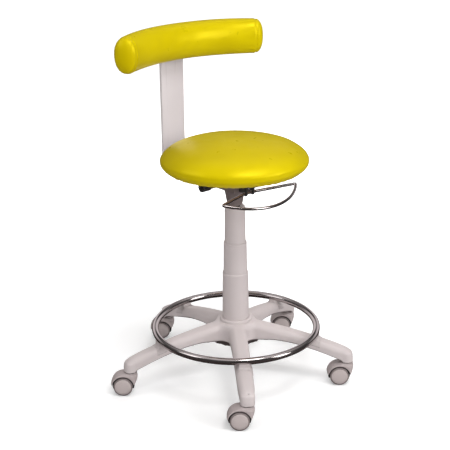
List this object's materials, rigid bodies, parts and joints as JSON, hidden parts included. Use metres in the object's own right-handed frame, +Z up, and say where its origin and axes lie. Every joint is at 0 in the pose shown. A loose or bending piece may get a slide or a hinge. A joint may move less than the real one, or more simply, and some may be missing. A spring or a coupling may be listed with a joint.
{
  "type": "dentist stool",
  "caption": "Height-adjustable clinic stool: round padded seat, curved backrest bolster on a bent flat bar, foot ring and star base on twin-wheel castors.",
  "frame": {"origin": "on the floor, on the column's axis", "axes": "+Z up along the column, -Y towards the sitter's front, +Y towards the backrest, +X to the sitter's left"},
  "size_m": [0.647, 0.6158, 0.9195],
  "materials": {
    "base_plastic": "satin moulded nylon, warm off-white",
    "cover_plastic": "satin moulded plastic, warm off-white",
    "bar_paint": "satin powder coat, warm off-white",
    "hood_plastic": "moulded plastic, warm off-white",
    "wheel_plastic": "hard grey-beige tread and cap",
    "yellow_vinyl": "smooth glossy upholstery vinyl",
    "foam": "upholstery foam",
    "plywood": "bare plywood",
    "chrome": "polished chrome plate",
    "hard_chrome": "ground hard chrome",
    "steel": "zinc-plated steel",
    "spring_steel": "spring steel",
    "black_steel": "black lacquer",
    "taupe_paint": "satin powder coat, dark taupe",
    "black_plastic": "matt black plastic",
    "knob_plastic": "black phenolic",
    "seal_rubber": "black seal rubber",
    "brass": "turned brass"
  },
  "bodies": {
    "base": {"star_base": "base_plastic", "hub_sleeve": "steel", "foot_ring": "chrome", "ring_saddles": "base_plastic", "saddle_screws": "steel", "stem_sockets": "steel", "caster_stems": "steel", "stem_rings": "spring_steel", "stand_tube": "black_steel", "guide_bush": "black_plastic", "cover_lower": "cover_plastic", "lower_race": "steel"},
    "rod": {"piston_rod": "hard_chrome", "piston": "seal_rubber", "bearing_balls": "steel", "upper_race": "steel", "rod_clip": "spring_steel"},
    "mid_cover": {"cover_mid": "cover_plastic"},
    "seat": {"pressure_tube": "black_steel", "rod_seal": "seal_rubber", "cover_upper": "cover_plastic", "seat_housing": "taupe_paint", "lever_bracket": "black_plastic", "bar_guide": "black_plastic", "seat_board": "plywood", "seat_foam": "foam", "seat_cover": "yellow_vinyl", "seat_bolts": "steel", "seat_nuts": "steel"},
    "valve_button": {"gas_button": "steel"},
    "lever": {"release_lever": "chrome"},
    "clamp_slide": {"clamp_pad": "brass"},
    "clamp_hand_knob": {"clamp_screw": "steel", "clamp_knob": "knob_plastic"},
    "backrest": {"back_bar": "bar_paint", "bolster_core": "plywood", "bolster_foam": "foam", "bolster_cover": "yellow_vinyl", "bolster_bolts": "steel", "bolster_nuts": "steel"},
    "caster_1": {"caster_hood_1": "hood_plastic", "caster_axle_1": "steel"},
    "wheel_1_l": {"wheel_1_left": "wheel_plastic"},
    "wheel_1_r": {"wheel_1_right": "wheel_plastic"},
    "caster_2": {"caster_hood_2": "hood_plastic", "caster_axle_2": "steel"},
    "wheel_2_l": {"wheel_2_left": "wheel_plastic"},
    "wheel_2_r": {"wheel_2_right": "wheel_plastic"},
    "caster_3": {"caster_hood_3": "hood_plastic", "caster_axle_3": "steel"},
    "wheel_3_l": {"wheel_3_left": "wheel_plastic"},
    "wheel_3_r": {"wheel_3_right": "wheel_plastic"},
    "caster_4": {"caster_hood_4": "hood_plastic", "caster_axle_4": "steel"},
    "wheel_4_l": {"wheel_4_left": "wheel_plastic"},
    "wheel_4_r": {"wheel_4_right": "wheel_plastic"},
    "caster_5": {"caster_hood_5": "hood_plastic", "caster_axle_5": "steel"},
    "wheel_5_l": {"wheel_5_left": "wheel_plastic"},
    "wheel_5_r": {"wheel_5_right": "wheel_plastic"}
  },
  "joints": [
    {"name": "seat_swivel", "type": "hinge", "parent": "base", "child": "rod", "pos_m": [0, 0, 0.11], "axis": [0, 0, 1], "continuous": true},
    {"name": "height_lift", "type": "slide", "parent": "rod", "child": "seat", "axis": [0, 0, 1], "range_m": [-0.13, 0.03]},
    {"name": "mid_cover_slide", "type": "slide", "parent": "rod", "child": "mid_cover", "axis": [0, 0, 1], "range_m": [-0.065, 0.015]},
    {"name": "lever_lift", "type": "hinge", "parent": "seat", "child": "lever", "pos_m": [0, -0.068, 0.5285], "axis": [-1, 0, 0], "range_deg": [0, 5]},
    {"name": "button_press", "type": "slide", "parent": "seat", "child": "valve_button", "axis": [0, 0, -1], "range_m": [0, 0.00594]},
    {"name": "backrest_depth", "type": "slide", "parent": "seat", "child": "backrest", "axis": [0, 1, 0], "range_m": [-0.015, 0.03]},
    {"name": "clamp_travel", "type": "slide", "parent": "seat", "child": "clamp_slide", "axis": [-1, 0, 0], "range_m": [0, 0.00104]},
    {"name": "clamp_turn", "type": "hinge", "parent": "clamp_slide", "child": "clamp_hand_knob", "pos_m": [-0.06, 0.03, 0.5341], "axis": [-1, 0, 0], "range_deg": [0, 300]},
    {"name": "caster_1_swivel", "type": "hinge", "parent": "base", "child": "caster_1", "pos_m": [0, 0.3, 0.06], "axis": [0, 0, 1], "continuous": true},
    {"name": "wheel_1_l_roll", "type": "hinge", "parent": "caster_1", "child": "wheel_1_l", "pos_m": [-0.01481, 0.31269, 0.025], "axis": [0.6508, 0.7593, 0], "continuous": true},
    {"name": "wheel_1_r_roll", "type": "hinge", "parent": "caster_1", "child": "wheel_1_r", "pos_m": [-0.01481, 0.31269, 0.025], "axis": [0.6508, 0.7593, 0], "continuous": true},
    {"name": "caster_2_swivel", "type": "hinge", "parent": "base", "child": "caster_2", "pos_m": [-0.28532, 0.0927, 0.06], "axis": [0, 0, 1], "continuous": true},
    {"name": "wheel_2_l_roll", "type": "hinge", "parent": "caster_2", "child": "wheel_2_l", "pos_m": [-0.30012, 0.1054, 0.025], "axis": [0.6508, 0.7593, 0], "continuous": true},
    {"name": "wheel_2_r_roll", "type": "hinge", "parent": "caster_2", "child": "wheel_2_r", "pos_m": [-0.30012, 0.1054, 0.025], "axis": [0.6508, 0.7593, 0], "continuous": true},
    {"name": "caster_3_swivel", "type": "hinge", "parent": "base", "child": "caster_3", "pos_m": [-0.17634, -0.24271, 0.06], "axis": [0, 0, 1], "continuous": true},
    {"name": "wheel_3_l_roll", "type": "hinge", "parent": "caster_3", "child": "wheel_3_l", "pos_m": [-0.19114, -0.23001, 0.025], "axis": [0.6508, 0.7593, 0], "continuous": true},
    {"name": "wheel_3_r_roll", "type": "hinge", "parent": "caster_3", "child": "wheel_3_r", "pos_m": [-0.19114, -0.23001, 0.025], "axis": [0.6508, 0.7593, 0], "continuous": true},
    {"name": "caster_4_swivel", "type": "hinge", "parent": "base", "child": "caster_4", "pos_m": [0.17634, -0.24271, 0.06], "axis": [0, 0, 1], "continuous": true},
    {"name": "wheel_4_l_roll", "type": "hinge", "parent": "caster_4", "child": "wheel_4_l", "pos_m": [0.16153, -0.23001, 0.025], "axis": [0.6508, 0.7593, 0], "continuous": true},
    {"name": "wheel_4_r_roll", "type": "hinge", "parent": "caster_4", "child": "wheel_4_r", "pos_m": [0.16153, -0.23001, 0.025], "axis": [0.6508, 0.7593, 0], "continuous": true},
    {"name": "caster_5_swivel", "type": "hinge", "parent": "base", "child": "caster_5", "pos_m": [0.28532, 0.0927, 0.06], "axis": [0, 0, 1], "continuous": true},
    {"name": "wheel_5_l_roll", "type": "hinge", "parent": "caster_5", "child": "wheel_5_l", "pos_m": [0.27051, 0.1054, 0.025], "axis": [0.6508, 0.7593, 0], "continuous": true},
    {"name": "wheel_5_r_roll", "type": "hinge", "parent": "caster_5", "child": "wheel_5_r", "pos_m": [0.27051, 0.1054, 0.025], "axis": [0.6508, 0.7593, 0], "continuous": true}
  ],
  "couplings": [
    {"joint": "mid_cover_slide", "follows": "height_lift", "ratio": 0.5},
    {"joint": "button_press", "follows": "lever_lift", "m_per_rad": 0.068},
    {"joint": "clamp_turn", "follows": "clamp_travel", "rad_per_m": 5026.5}
  ]
}
